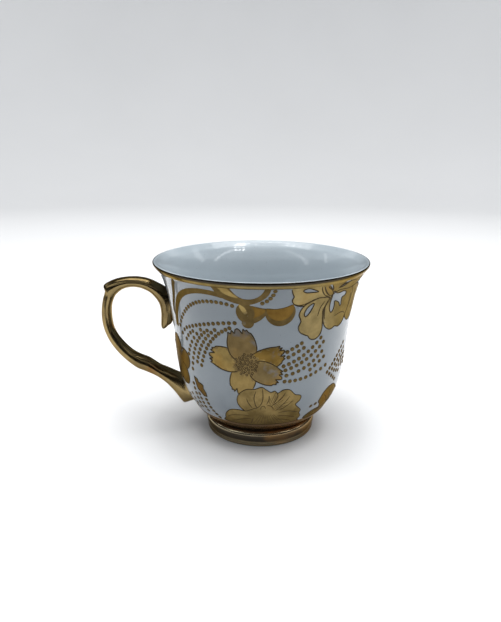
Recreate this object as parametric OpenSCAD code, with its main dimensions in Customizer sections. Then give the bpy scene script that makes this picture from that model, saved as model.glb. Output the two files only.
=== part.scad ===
// Teacup with a turned foot, a scrolled handle and fired-on gold decoration.
// Origin: on the cup's axis, at the plane that the foot stands on.
// +Z is up, the handle reaches out along -X, and the front of the decoration faces -Y.

/* [Bowl] */
// Outside radius of the lip
lip_r = 43; // [40:0.5:46]
// Height of the lip above the table
cup_h = 72.4; // [68:0.2:77]
/* [Foot] */
// Height of the foot ring, up to the underside of the bowl
foot_h = 6.9; // [6.4:0.1:7.4]
// Inside radius of the foot's standing face
foot_bore = 18.8; // [17.5:0.1:19.5]
/* [Handle] */
// Width of the handle across its top
grip_w = 6.6; // [5.6:0.1:7.4]
/* [Slip] */
// Thickness of the clay slip that glues one fired piece to the next
slip = 0.4; // [0.3:0.05:0.6]
/* [Gilding] */
// Thickness of the gold film
film = 0.12; // [0.1:0.01:0.2]
// Depth of the gold band around the lip, along the wall
lip_band = 3.5; // [2:0.1:4]
// Height of the gold band at the bowl's base, along the wall
base_band = 9.6; // [7:0.1:9.6]
// Diameter of the printed dots
dot_d = 1.6; // [1:0.05:1.6]

/* [Hidden] */
SIDES = ["front_", "back_"];

$fn = 72;
far = 60;                     // longer than any radius of the cup
wide = lip_r / 43;            // the outline below is drawn for these two sizes
tall = cup_h / 72.4;
map_r = 36;                   // a decoration's sideways millimetres are measured at this radius
step = 4;                     // spline steps between two points of an outline
dot_sink = 0.01;              // a flat dot sits this far in the curved glaze

porcelain = [0.90, 0.92, 0.94];
gold = [0.80, 0.66, 0.32];
dark_gold = [0.45, 0.34, 0.15];

// ---- Curves ----------------------------------------------------------------

// One point of a Catmull-Rom curve, between b and c
function between(a, b, c, d, u) =
    0.5 * (2 * b + (c - a) * u + (2 * a - 5 * b + 4 * c - d) * u * u
    + (3 * b - a - 3 * c + d) * u * u * u);

// A smooth open curve through the points p
function smooth(p, n = step) = let (last = len(p) - 1) concat(
    [for (i = [0 : last - 1], k = [0 : n - 1])
        between(p[max(i - 1, 0)], p[i], p[i + 1], p[min(i + 2, last)], k / n)],
    [p[last]]);

// A smooth closed curve through the points p
function smooth_loop(p, n = step) = let (m = len(p))
    [for (i = [0 : m - 1], k = [0 : n - 1])
        between(p[(i + m - 1) % m], p[i], p[(i + 1) % m], p[(i + 2) % m], k / n)];

// n points along a bowed line from a to b that passes through mid
function bowed(a, mid, b, n) = let (pull = 2 * mid - (a + b) / 2)
    [for (k = [0 : n - 1]) let (u = n > 1 ? k / (n - 1) : 0)
        (1 - u) * (1 - u) * a + 2 * u * (1 - u) * pull + u * u * b];

// n points along a straight line from a to b
function straight(a, b, n) = bowed(a, (a + b) / 2, b, n);

// A band of width w0 at its start and w1 at its end, along the points p
function band(p, w0, w1) = let (
    last = len(p) - 1,
    side = [for (i = [0 : last]) let (
        d = p[min(i + 1, last)] - p[max(i - 1, 0)],
        w = (w0 + (w1 - w0) * i / last) / 2)
        [-d[1], d[0]] / norm(d) * w])
    concat([for (i = [0 : last]) p[i] + side[i]],
        [for (i = [last : -1 : 0]) p[i] - side[i]]);

// An ellipse about c with half axes a and b, turned by angle
function oval(c, a, b, angle = 0, n = 40) =
    [for (k = [0 : n - 1]) let (
        x = a * cos(360 * k / n),
        y = b * sin(360 * k / n))
        c + [x * cos(angle) - y * sin(angle), x * sin(angle) + y * cos(angle)]];

// ---- The bowl's wall ---------------------------------------------------------

// Outside of the bowl as [radius, height], from the crease above the foot to the top of the lip
wall = smooth([for (p = [[20.6, foot_h / tall], [23.8, 8.9], [26.8, 11.5], [29, 14.7], [31.3, 18.9],
    [33.4, 25.2], [34.7, 33.5], [35.6, 43], [36.6, 52.5], [37.8, 59.8], [39.3, 65],
    [40.9, 68.7], [42.2, 70.5], [42.9, 71.5], [42.9, 72.1], [42.4, 72.4]])
    [p[0] * wide, p[1] * tall]]);

// Inside of the bowl, from the lip to the middle of the floor
cavity = smooth([for (p = [[41.9, 72.3], [40.7, 71.1], [39.2, 69.3], [37.4, 65.6], [35.8, 60.1],
    [34.4, 52.7], [33.4, 43.2], [32.4, 33.8], [31.1, 25.8], [29, 20], [26.6, 16.4],
    [23.8, 13.5], [20.4, 11.6], [15, 10.4], [8, 10], [0, 10]]) [p[0] * wide, p[1] * tall]]);

// Distance along the wall to each of its points
run = [for (i = 0, sum = 0; i < len(wall);
    sum = sum + (i < len(wall) - 1 ? norm(wall[i + 1] - wall[i]) : 0), i = i + 1) sum];
wall_top = run[len(run) - 1];

// Outward direction at each point of the wall
facing = [for (i = [0 : len(wall) - 1]) let (
    d = wall[min(i + 1, len(wall) - 1)] - wall[max(i - 1, 0)])
    [d[1], -d[0]] / norm(d)];

radius_at = [for (i = [0 : len(wall) - 1]) [run[i], wall[i][0]]];
height_at = [for (i = [0 : len(wall) - 1]) [run[i], wall[i][1]]];
lean_at = [for (i = [0 : len(wall) - 1]) [run[i], atan2(facing[i][1], facing[i][0])]];

// The place [radius, height] that is d off the wall's surface, at distance t along it
function off_wall(t, d) = let (lean = lookup(t, lean_at))
    [lookup(t, radius_at) + d * cos(lean), lookup(t, height_at) + d * sin(lean)];

// Section of a layer on the wall, from d0 to d1 off its surface, between two distances along it
function layer(t0, t1, d0, d1) = let (
    stops = concat([t0], [for (t = run) if (t > t0 + 0.1 && t < t1 - 0.1) t], [t1]),
    last = len(stops) - 1)
    concat([for (k = [0 : last]) off_wall(stops[k], d0)],
        [for (k = [last : -1 : 0]) off_wall(stops[k], d1)]);

module skin(t0, t1, d0, d1) {
    rotate_extrude() polygon(layer(t0, t1, d0, d1));
}

// ---- Placing decoration: [s, t] is sideways and up along the wall, in millimetres ----

function turn_of(s) = s / map_r * 180 / PI;

function reach(points) = [min([for (p = points) p[1]]), max([for (p = points) p[1]])];

function middle(points) = let (s = [for (p = points) p[0]]) (min(s) + max(s)) / 2;

// The outline as seen from straight in front of its middle
function seen(points, mid) = [for (p = points)
    [lookup(p[1], radius_at) * sin(turn_of(p[0] - mid)), lookup(p[1], height_at)]];

// Pushes an outline on to the wall, as a solid that crosses the gold film
module stamp(points) {
    mid = middle(points);
    rotate([90, 0, turn_of(mid)]) linear_extrude(far) polygon(seen(points, mid));
}

// Gold film in the shape of the outlines, less the openings
module printed(outlines, openings = []) {
    ends = [for (o = outlines) reach(o)];
    low = min([for (e = ends) e[0]]) - 2;
    high = max([for (e = ends) e[1]]) + 2;
    intersection() {
        skin(low, min(high, wall_top - lip_band), 0, film);
        difference() {
            union() for (o = outlines) stamp(o);
            for (o = openings) stamp(o);
        }
    }
}

// Round printed dots at the given places, each a flat coin of gold
module dots(places) {
    for (p = places)
        rotate([0, 0, turn_of(p[0]) - 90])
            translate([lookup(p[1], radius_at), 0, lookup(p[1], height_at)])
                rotate([0, 90 - lookup(p[1], lean_at), 0])
                    translate([0, 0, -dot_sink]) cylinder(d = dot_d, h = film + dot_sink);
}

// The same printed sheet is on both sides of the cup, half a turn apart
module on_side(side) {
    rotate([0, 0, side == "back_" ? 180 : 0]) children();
}

// ---- Fired clay ----------------------------------------------------------------

module cup_body() {
    color(porcelain) rotate_extrude()
        polygon(concat(wall, cavity, [[0, wall[0][1]]]));
}

// Outside of the foot as [radius, height]
foot_side = smooth([for (p = [[21.6, 0], [22.4, 0.7], [22.5, 1.9], [22.8, 3.5], [22.9, 5],
    [22.5, 6.1], [20.6, 6.9]]) [p[0] * wide, p[1] * foot_h / 6.9]]);
foot_top = foot_h - slip;
foot_ledge = [17.2, 19.9] * wide;   // the ring that the bowl sits on

module foot_ring() {
    side = [for (p = foot_side) if (p[1] < foot_top - 0.2) p];
    color(porcelain) rotate_extrude()
        polygon(concat(side, [[foot_ledge[1], foot_top], [foot_ledge[0], foot_top],
            [foot_bore - 0.9, foot_h / 3], [foot_bore, 0]]));
}

module foot_joint() {
    color(porcelain) translate([0, 0, foot_top]) difference() {
        cylinder(r = foot_ledge[1], h = slip);
        translate([0, 0, -1]) cylinder(r = foot_ledge[0], h = slip + 2);
    }
}

// The two rails of the handle's loop in the plane of the handle, as [x, z]:
// from the pointed spur on the wall, up, over the thumb point and down to the tail.
outer_rail = [[-40.2, 42.3], [-39.4, 42.7], [-38.3, 43.8], [-36.8, 45.2], [-35.8, 50], [-36.2, 56.5],
    [-38.6, 59.8], [-42, 61.9], [-45.3, 63.4], [-48.6, 64.2], [-52.2, 64.4], [-56.4, 64],
    [-60.4, 62.9], [-63.9, 60.8], [-63.6, 58.4], [-64.7, 54.8], [-65.5, 50.4], [-65.6, 46.2],
    [-65, 42.2], [-63.7, 38.3], [-61.6, 34.4], [-58.8, 30.8], [-55.6, 27.6], [-52.1, 24.9],
    [-48.3, 23.3], [-44.5, 21.5], [-41, 19.1], [-38.4, 16.5], [-35.9, 13.3], [-33.9, 10.3],
    [-32.5, 9.1], [-29.5, 10.1], [-26, 11.6]];
inner_rail = [[-40.6, 42.3], [-41.1, 42.8], [-41.3, 44.2], [-41.2, 46.6], [-41.1, 49.5], [-41.6, 52.8],
    [-42.9, 55.3], [-45.1, 57.8], [-48.3, 59.5], [-51, 60.1], [-53.6, 60], [-56.2, 59.2],
    [-58.2, 57.8], [-59.6, 56.3], [-60.5, 54.6], [-61.2, 52.4], [-61.5, 49.5], [-61.4, 46],
    [-60.9, 42.8], [-59.7, 40], [-58.1, 37.6], [-55.9, 35], [-53.1, 32.5], [-50.1, 30.9],
    [-47.1, 29.7], [-44.9, 28.2], [-42.6, 26.6], [-39.4, 25.2], [-36.5, 23.9], [-33.5, 22.5],
    [-31, 20.3], [-28.6, 17.2], [-26, 13.5]];
// Width of the handle at each of those places, as a part of the width across its top
breadth = [0.2, 0.45, 0.68, 0.84, 0.95, 1, 1, 1, 1, 1, 1, 1, 1, 0.92, 0.86, 0.84, 0.83, 0.83, 0.83,
    0.83, 0.83, 0.84, 0.86, 0.88, 0.9, 0.94, 0.98, 1.02, 1.06, 1.08, 1.06, 1, 0.9];
handle_sides = 16;
corner = 2.8;                 // above 2 the handle's section is squarer than an ellipse

function squarish(v) = sign(v) * pow(abs(v), 2 / corner);

function handle_ring(outer, inner, w) = let (c = (outer + inner) / 2, d = (outer - inner) / 2)
    [for (k = [0 : handle_sides - 1]) let (
        a = squarish(cos(360 * k / handle_sides)),
        b = squarish(sin(360 * k / handle_sides)))
        [(c[0] + d[0] * a) * wide, b * w / 2, (c[1] + d[1] * a) * tall]];

module handle_sweep() {
    outer = smooth(outer_rail, 2);
    inner = smooth(inner_rail, 2);
    w = smooth(breadth, 2);
    rings = [for (i = [0 : len(outer) - 1]) handle_ring(outer[i], inner[i], w[i] * grip_w)];
    m = handle_sides;
    last = len(rings) - 1;
    sides = [for (i = [0 : last - 1], k = [0 : m - 1])
        [i * m + k, i * m + (k + 1) % m, (i + 1) * m + (k + 1) % m, (i + 1) * m + k]];
    caps = [[for (k = [m - 1 : -1 : 0]) k], [for (k = [0 : m - 1]) last * m + k]];
    polyhedron([for (r = rings, p = r) p], concat(sides, caps));
}

// Everything inside the wall's surface moved out by d
module inside_wall(d) {
    side = [for (i = [0 : len(wall) - 1]) wall[i] + d * facing[i]];
    top = side[len(side) - 1][1];
    rotate_extrude() polygon(concat([[0, side[0][1]]], side, [[0, top]]));
}

module handle() {
    color(gold) difference() {
        handle_sweep();
        inside_wall(slip);
    }
}

// Where each end of the handle meets the wall: middle height, half height, half width
upper_seat = [52.6 * tall, 7.8 * tall, 4.1];
lower_seat = [16.6 * tall, 6.6 * tall, 4.3];

module seat_prism(seat) {
    rotate([90, 0, -90]) linear_extrude(far) polygon(oval([0, seat[0]], seat[2], seat[1]));
}

module slip_pad(seat) {
    color(gold) intersection() {
        skin(0, wall_top - lip_band - 2, 0, slip);
        seat_prism(seat);
    }
}

module upper_handle_joint() slip_pad(upper_seat);
module lower_handle_joint() slip_pad(lower_seat);

// ---- Gold bands ----------------------------------------------------------------

// Section of a coat of thickness d on the path p of [radius, height]
function coat(p, d) = let (last = len(p) - 1) concat(p, [for (i = [last : -1 : 0])
    let (v = p[min(i + 1, last)] - p[max(i - 1, 0)])
    p[i] + d * [v[1], -v[0]] / norm(v)]);

// The lip's gold ends on its rounded top
module lip_gilding() {
    start = wall_top - lip_band;
    path = concat([off_wall(start, 0)],
        [for (i = [0 : len(wall) - 1]) if (run[i] > start + 0.1) wall[i]]);
    color(gold) rotate_extrude() polygon(coat(path, film));
}

module base_gilding() {
    color(dark_gold) difference() {
        skin(0.6, base_band, 0, film);
        seat_prism(lower_seat);
    }
}

module foot_gilding() {
    side = [for (p = foot_side) if (p[1] > 0.3 && p[1] < foot_top - 0.4) p];
    color(dark_gold) rotate_extrude() polygon(coat(side, film));
}

// ---- Flowers and leaves ----------------------------------------------------------

// Half of a petal's edge and its ragged tip, along and across the petal, for a petal of size 1
petal_edge = [[0.06, 0.4], [0.2, 0.74], [0.36, 0.96], [0.52, 1], [0.68, 0.95], [0.83, 0.8]];
petal_tip = [[0.93, 0.74], [0.87, 0.58], [0.97, 0.48], [0.87, 0.32], [0.98, 0.22], [1, 0.06],
    [0.95, -0.06], [0.84, -0.2], [0.97, -0.32], [0.9, -0.44], [0.94, -0.56], [0.86, -0.64]];

// A petal that leaves c at angle, with its two half widths
function petal(c, angle, length, left, right) = let (
    edge = smooth(petal_edge, 3),
    last = len(edge) - 1,
    local = concat(
        [for (p = edge) [p[0] * length, p[1] * left]],
        [for (p = petal_tip) [p[0] * length, p[1] * (p[1] > 0 ? left : right)]],
        [for (i = [last : -1 : 0]) [edge[i][0] * length, -edge[i][1] * right]]))
    [for (p = local) c + [p[0] * cos(angle) - p[1] * sin(angle),
        p[0] * sin(angle) + p[1] * cos(angle)]];

anemone_c = [-5.1, 38.3];
// Each petal: angle, length, half width on its left and on its right
anemone_petals = [[101, 14.4, 5.6, 5], [20, 14.9, 3.9, 4.7], [-25, 14.4, 4.3, 4.5],
    [-107, 12.8, 5.2, 4.6], [169, 15.3, 4.7, 4.6]];

fan_edge = [[-15.5, 9.8], [-16.6, 12.4], [-15.6, 15.4], [-13, 17.8], [-9.8, 18.4],
    [-6.8, 18.2], [-8.7, 20.4], [-9.4, 23.2], [-8.4, 26], [-5.4, 28.2], [-2.3, 28.4],
    [0.4, 29.3], [2.2, 28.2], [4, 27.1], [5.6, 27.6], [6.9, 26.6], [9, 27.8], [11.6, 27.5],
    [14, 25.2], [16.7, 24.2], [16.6, 22.1], [15, 20.2], [18.1, 17], [17.9, 15.3], [19.3, 13],
    [18.6, 10.7], [16.6, 9.8]];

module fan_flower(side) {
    color(gold) on_side(side) printed([smooth_loop(fan_edge, 3)]);
}

// The fan flower is in front of the lowest petal
module anemone(side) {
    color(gold) on_side(side) printed(concat(
        [for (p = anemone_petals) petal(anemone_c, p[0], p[1], p[2], p[3])],
        [oval(anemone_c, 4.6, 4.6)]), [smooth_loop(fan_edge, 3)]);
}

// The clover flower hangs from the lip: its lobes and the openings in them
clover_lobes = [
    [[9.3, 71], [9.2, 68.5], [9.7, 66.4], [10.3, 65], [9.9, 63.3], [10.9, 61.7], [12.6, 60.9],
        [14.5, 60.8], [18, 60.6], [23, 60], [25, 64], [23, 68], [20.5, 71]],
    [[15.8, 61.8], [14, 60.2], [13, 57.4], [13.9, 54.8], [13.2, 52.4], [14, 50.4],
        [16, 49.1], [17.2, 48.6], [18.4, 47.2], [20.6, 46.8], [22.6, 48.2], [23.3, 50.6],
        [22.9, 54.5], [22.5, 58], [24.2, 62.4], [20, 63.4]],
    [[24.6, 62.5], [23, 58.5], [23.3, 53.6], [25, 50.6], [27.8, 49.2], [30.3, 49.9],
        [32.8, 49.3], [35.4, 50.6], [37, 53.6], [38.6, 57.5], [38.4, 61.8], [36, 65],
        [31, 66.4], [26, 66.6]],
    [[36.6, 53.4], [38.4, 50.8], [41.4, 49.8], [44.6, 51], [47, 54.4], [47.2, 59], [44.8, 63],
        [40.5, 65.2], [36, 64.5], [37.5, 59]],
    [[23.5, 63.8], [28, 65.2], [34, 64.8], [39.5, 65.6], [42.5, 68], [43, 71], [32, 71],
        [20, 71]]];
clover_openings = [
    [[13, 67.5], [14.6, 68.2], [16.6, 67.4], [18.5, 66.2], [16, 66.2], [14, 66.4]],
    [[18.1, 61.3], [17.7, 59.4], [16.7, 57.4], [15.5, 56.4], [14.9, 57.6], [15.5, 59.4],
        [16.8, 60.9]],
    [[25.5, 65.1], [27, 64.1], [29, 63.9], [31, 64.2], [32.8, 63.2], [32.6, 61.9],
        [31.2, 61.3], [31.4, 59.6], [31.8, 58.2], [31, 58], [30.2, 59.3], [28.9, 60.1],
        [27.3, 60.6], [27.7, 58.6], [27.4, 56.8], [26.6, 56.2], [25.6, 57.6], [25.2, 60],
        [25.3, 62.6]],
    [[21.4, 69.6], [22.8, 69], [24.2, 67], [24.6, 66], [23.2, 67.2]],
    [[27.4, 66.4], [29.4, 68.3], [32.4, 69.6], [33.4, 69.2], [31.6, 67.9], [29.6, 66.8]]];

module clover_flower(side) {
    color(gold) on_side(side) printed(
        [for (lobe = clover_lobes) smooth_loop(lobe, 3)],
        [for (hole = clover_openings) smooth_loop(hole, 3)]);
}

corner_edge = [[28.2, 18], [29, 20.6], [30.8, 22.7], [33.6, 23.8], [37.2, 23.6], [40.4, 21.8],
    [43, 19.6], [46.4, 18.6], [48.4, 15.4], [48.2, 11.8], [45.6, 9.7], [38, 9.7], [30, 9.7],
    [24, 9.7], [22.4, 10.6], [24.2, 12.6], [27.2, 14], [30.4, 14.2], [29.8, 16.2]];

module corner_flower(side) {
    color(gold) on_side(side) printed([smooth_loop(corner_edge, 3)]);
}

// The five-lobed flower beside the handle, its opening, and the small ragged leaf next to it
lobes_c = [-42, 32.4];
lobe_r = 4.4;
lobe_out = 5.7;
lobes_opening = [[-39.9, 36.5], [-38.4, 37.1], [-36.8, 38.3], [-35.9, 38.8], [-36.8, 37.4],
    [-38.3, 36.4]];
small_leaf = [[-29.9, 28.8], [-28, 28.3], [-27.6, 26.9], [-26.2, 26.8], [-25, 26.2],
    [-25.2, 24.8], [-24, 23], [-23.9, 21.5], [-25.6, 21.4], [-27, 22.8], [-28.6, 23.8],
    [-29.3, 26.4]];

module side_leaf(side) {
    lobes = [for (a = [20 : 72 : 308]) oval(lobes_c + lobe_out * [cos(a), sin(a)],
        lobe_r * 1.15, lobe_r, a, 28)];
    color(gold) on_side(side) printed(concat(lobes, [oval(lobes_c, 4, 4), small_leaf]),
        [smooth_loop(lobes_opening, 3)]);
}

// ---- Ribbons, beads and dots -------------------------------------------------------

loop_out = [[-15.6, 71], [-15, 67.6], [-13.2, 64.6], [-9.4, 62.7], [-5.2, 61.8], [-1.6, 62.7],
    [1.5, 64.9], [2.8, 67.6], [3.1, 71]];
loop_in = [[1.1, 71], [0.9, 68.2], [-0.6, 65.6], [-3.2, 64.3], [-6.2, 64.6], [-8.6, 67],
    [-10, 71]];

loop_edge = concat(smooth(loop_out, 3), smooth(loop_in, 3));

module ribbon_loop(side) {
    color(dark_gold) on_side(side) printed([loop_edge]);
}

scroll_c = [-18.6, 45.6];
scroll_r = 20.3;

// The loop is in front of the scroll's end and of the knot's top
module ribbon_scroll(side) {
    path = [for (a = [72 : 5 : 175]) scroll_c + scroll_r * [cos(a), sin(a)]];
    color(dark_gold) on_side(side) printed([band(path, 2.1, 2.7)], [loop_edge]);
}

knot_c = [-5.2, 58.7];
knot_tilt = 8;
knot_edges = [oval(knot_c, 3.1, 3.9, knot_tilt), oval([-4.4, 54.8], 2.1, 2.1)];

module ribbon_knot(side) {
    color(dark_gold) on_side(side) printed(knot_edges, [loop_edge]);
}

swag_left = [[-3.4, 61.4], [-1.4, 61.2], [0.4, 60.7], [2.2, 60.4], [2.2, 58.8], [1, 57.1],
    [-0.6, 55.6], [-2.6, 54.9], [-3.6, 58]];
swag_bowl = [6.5, 58.6];
swag_r = 5.1;

// The knot is in front of the small scallop's left end
module scallop_swag(side) {
    hung = [for (a = [156 : 7 : 380]) swag_bowl + swag_r * [cos(a), sin(a)]];
    top = smooth([[10.4, 62], [7.4, 60.8], [4.8, 60.4], [2.8, 60.6]], 3);
    color(dark_gold) on_side(side) printed([concat(hung, top), smooth_loop(swag_left, 3)],
        concat(knot_edges, [loop_edge]));
}

module rope_line(side) {
    path = smooth([[-29.6, 71], [-32.8, 66.5], [-35, 62.7], [-37.3, 58.9], [-39.2, 55.8],
        [-40, 52.8]], 3);
    color(dark_gold) on_side(side) printed([band(path, 1.2, 1.2)]);
}

module bead_trail(side) {
    color(dark_gold) on_side(side) dots(concat(
        bowed([-9.4, 61.2], [-24, 60.1], [-36, 48.4], 18),
        bowed([4.2, 67.8], [2.9, 64.7], [0.4, 62.7], 5)));
}

module left_dots(side) {
    color(dark_gold) on_side(side) dots(concat(
        bowed([-9, 54.4], [-20.2, 52.4], [-31, 48.7], 12),
        bowed([-11, 52.2], [-19, 45.7], [-24.4, 35], 13),
        bowed([-16.8, 50.7], [-22.9, 44.1], [-26.6, 35.9], 10),
        bowed([-20.1, 49.9], [-26.4, 42.9], [-30.1, 32], 11),
        bowed([-23.2, 49.6], [-28.7, 43.5], [-31.6, 37.8], 7),
        bowed([-27.4, 48.1], [-29.8, 46.4], [-32, 43.9], 4),
        straight([-32.8, 47.4], [-34.6, 45.6], 2)));
}

module right_dots(side) {
    color(dark_gold) on_side(side) dots(concat(
        straight([9.7, 43.2], [15.1, 46], 4),
        straight([10.2, 41], [16.1, 44], 4),
        bowed([8.5, 37.6], [16.3, 41.1], [23.4, 46.8], 9),
        bowed([9.3, 35.9], [17.7, 39.3], [25, 44.8], 9),
        bowed([9.8, 33.7], [17.9, 36.3], [24.7, 41], 8),
        straight([19.7, 34.6], [26, 38.6], 4),
        bowed([9.2, 31.3], [18, 31.8], [27.6, 34.7], 9)));
}

module far_dots(side) {
    rows = [for (k = [0 : 4]) let (a = [29.5, 31.1] + k * [1.8, -1.3])
        bowed(a, a + [5.2, 4.6], [40.6, 40.4] + k * [1.5, -2.6], 8 - round(k * 0.7))];
    color(dark_gold) on_side(side) dots([for (r = rows, p = r) p]);
}

module lower_dots(side) {
    color(dark_gold) on_side(side) dots(concat(
        bowed([-24.8, 19.8], [-23.4, 15.1], [-20.9, 10.8], 6),
        straight([-28.5, 21.4], [-27.1, 13], 5),
        straight([-31.1, 25.4], [-30.6, 14.2], 6),
        straight([-35, 19.4], [-33.6, 12.6], 4),
        straight([-38.8, 17.6], [-37, 12.4], 3),
        straight([23.9, 17], [26.6, 17.4], 2)));
}

// ---- Assembly ------------------------------------------------------------------------

cup_body();
foot_ring();
handle();
foot_joint();
upper_handle_joint();
lower_handle_joint();
lip_gilding();
base_gilding();
foot_gilding();
for (side = SIDES) {
    anemone(side);
    fan_flower(side);
    clover_flower(side);
    corner_flower(side);
    side_leaf(side);
    ribbon_scroll(side);
    ribbon_loop(side);
    ribbon_knot(side);
    scallop_swag(side);
    rope_line(side);
    bead_trail(side);
    left_dots(side);
    right_dots(side);
    far_dots(side);
    lower_dots(side);
}
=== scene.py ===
"""Looks for the teacup: glazed porcelain, a lustre handle and fired-on gold decoration."""

import math

import bpy
import numpy as np
from mathutils import Matrix, Vector
from mathutils.geometry import delaunay_2d_cdt


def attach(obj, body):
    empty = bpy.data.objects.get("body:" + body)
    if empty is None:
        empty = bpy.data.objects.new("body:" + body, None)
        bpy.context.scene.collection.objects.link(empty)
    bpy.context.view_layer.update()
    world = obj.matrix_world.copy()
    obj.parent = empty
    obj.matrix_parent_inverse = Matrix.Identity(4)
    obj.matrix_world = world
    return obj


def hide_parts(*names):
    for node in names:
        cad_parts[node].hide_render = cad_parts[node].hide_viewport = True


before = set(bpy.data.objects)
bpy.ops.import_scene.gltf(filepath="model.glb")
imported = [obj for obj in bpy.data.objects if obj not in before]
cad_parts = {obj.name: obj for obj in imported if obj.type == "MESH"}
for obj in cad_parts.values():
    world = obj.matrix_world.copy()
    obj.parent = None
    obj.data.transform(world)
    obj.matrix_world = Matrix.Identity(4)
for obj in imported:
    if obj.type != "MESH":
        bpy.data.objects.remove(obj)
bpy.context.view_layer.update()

MM = 0.001
ROOT = "root"


def put(name, data):
    """A new object with this data, in the scene."""
    obj = bpy.data.objects.new(name, data)
    bpy.context.scene.collection.objects.link(obj)
    return obj


# ---- camera
CAMERA_AT = (0.0, -0.2274, 0.1171)
CAMERA_PITCH = math.radians(16.40)
CAMERA_ROLL = math.radians(0.41)


def add_camera():
    data = bpy.data.cameras.new("camera")
    data.lens = 33.31
    data.sensor_width = 36.0
    data.shift_x = -0.0169
    data.clip_start = 0.01
    cam = put("camera", data)
    tilt = Matrix.Rotation(math.pi / 2 - CAMERA_PITCH, 4, "X")
    roll = Matrix.Rotation(CAMERA_ROLL, 4, "Z")
    cam.matrix_world = Matrix.Translation(CAMERA_AT) @ tilt @ roll
    bpy.context.scene.camera = cam


add_camera()


# ---- curves, in millimetres
def smooth(points, steps=8, closed=False):
    """A Catmull-Rom curve through the points."""
    p = np.array(points, float)
    n = len(p)
    spans = n if closed else n - 1
    out = []
    for i in range(spans):
        a = p[(i - 1) % n] if closed else p[max(i - 1, 0)]
        b = p[i]
        c = p[(i + 1) % n]
        d = p[(i + 2) % n] if closed else p[min(i + 2, n - 1)]
        for k in range(steps):
            u = k / steps
            out.append(0.5 * (2 * b + (c - a) * u + (2 * a - 5 * b + 4 * c - d) * u * u
                              + (3 * b - a - 3 * c + d) * u ** 3))
    if not closed:
        out.append(p[-1])
    return np.array(out)


def bowed(a, mid, b, n):
    """n points along a bowed line from a to b that passes through mid."""
    a, mid, b = (np.array(p, float) for p in (a, mid, b))
    pull = 2 * mid - (a + b) / 2
    u = np.linspace(0, 1, n)[:, None]
    return (1 - u) ** 2 * a + 2 * u * (1 - u) * pull + u * u * b


def straight(a, b, n):
    return bowed(a, np.add(a, b) / 2, b, n)


def ray(degrees):
    """The unit vector that points that way."""
    return np.array([math.cos(math.radians(degrees)), math.sin(math.radians(degrees))])


def arc(centre, r, a0, a1, n):
    a = np.radians(np.linspace(a0, a1, n))
    return np.array(centre) + r * np.column_stack([np.cos(a), np.sin(a)])


def oval(centre, a, b, tilt=0.0, n=48):
    th = np.linspace(0, 2 * math.pi, n, endpoint=False)
    x, y = a * np.cos(th), b * np.sin(th)
    c, s = ray(tilt)
    return np.array(centre) + np.column_stack([x * c - y * s, x * s + y * c])


def band(path, w0, w1):
    """A ribbon's outline along a path, w0 wide at its start and w1 at its end."""
    path = np.array(path, float)
    d = np.gradient(path, axis=0)
    side = np.column_stack([-d[:, 1], d[:, 0]]) / np.linalg.norm(d, axis=1)[:, None]
    w = np.linspace(w0, w1, len(path))[:, None] / 2
    return np.vstack([path + side * w, (path - side * w)[::-1]])


def run_along(path):
    """How far along the path each of its points lies."""
    return np.concatenate([[0], np.cumsum(np.linalg.norm(np.diff(path, axis=0), axis=1))])


def at_run(t, run, pairs):
    """The pairs that go with the points of a path whose runs are run, at the runs t."""
    return np.column_stack([np.interp(t, run, pairs[:, k]) for k in (0, 1)])


def even(path, gap):
    """The same path with points about gap apart."""
    run = run_along(path)
    return at_run(np.linspace(0, run[-1], max(int(round(run[-1] / gap)), 3) + 1), run, path)


def split(path, gap):
    """The closed path with its own corners kept and no edge longer than gap."""
    p = np.array(path, float)
    out = []
    for a, b in zip(p, np.roll(p, -1, axis=0)):
        n = max(int(math.ceil(np.linalg.norm(b - a) / gap)), 1)
        for k in range(n):
            q = a + (b - a) * k / n
            if not out or np.linalg.norm(q - out[-1]) > 0.02:
                out.append(q)
    if np.linalg.norm(out[0] - out[-1]) < 0.02:
        out.pop()
    return np.array(out)


# ---- the bowl's wall
WALL = smooth([(20.6, 6.9), (23.8, 8.9), (26.8, 11.5), (29, 14.7), (31.3, 18.9), (33.4, 25.2),
               (34.7, 33.5), (35.6, 43), (36.6, 52.5), (37.8, 59.8), (39.3, 65), (40.9, 68.7),
               (42.2, 70.5), (42.9, 71.5), (42.9, 72.1), (42.4, 72.4)])
CAVITY = smooth([(41.9, 72.3), (40.7, 71.1), (39.2, 69.3), (37.4, 65.6), (35.8, 60.1), (34.4, 52.7),
                 (33.4, 43.2), (32.4, 33.8), (31.1, 25.8), (29, 20), (26.6, 16.4), (23.8, 13.5),
                 (20.4, 11.6), (15, 10.4), (8, 10), (0, 10)])


def outward(path):
    """Unit normals of a path of [r, z] that climbs the outside."""
    d = np.gradient(path, axis=0)
    return np.column_stack([d[:, 1], -d[:, 0]]) / np.linalg.norm(d, axis=1)[:, None]


RUN = run_along(WALL)
FACING = outward(WALL)
WALL_TOP = RUN[-1]
LIP_BARE = 0.3  # the lip's crest is left white inside this
LIP_BAND = 3.5  # depth of the gold band round the lip, along the wall
MAP_R = 36.0  # a decoration's sideways millimetres are measured at this radius
BACK = MAP_R * math.pi  # half a turn, in those millimetres
HANDLE_S = -MAP_R * math.pi / 2


def on_section(t):
    """Points and normals [r, z] of the wall at the run t."""
    return at_run(t, RUN, WALL), at_run(t, RUN, FACING)


def on_wall(s, t, lift):
    """Places [s, t] on the wall, lift off its surface, in metres."""
    s, t, lift = np.broadcast_arrays(np.asarray(s, float), np.asarray(t, float),
                                     np.asarray(lift, float))
    point, out = on_section(t)
    r, z = (point + lift[:, None] * out).T
    turn = s / MAP_R
    return np.column_stack([r * np.sin(turn), -r * np.cos(turn), z]) * MM


def slide(t):
    """How many [s] millimetres make one real millimetre sideways at t."""
    return MAP_R / np.interp(t, RUN, WALL[:, 0])


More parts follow.
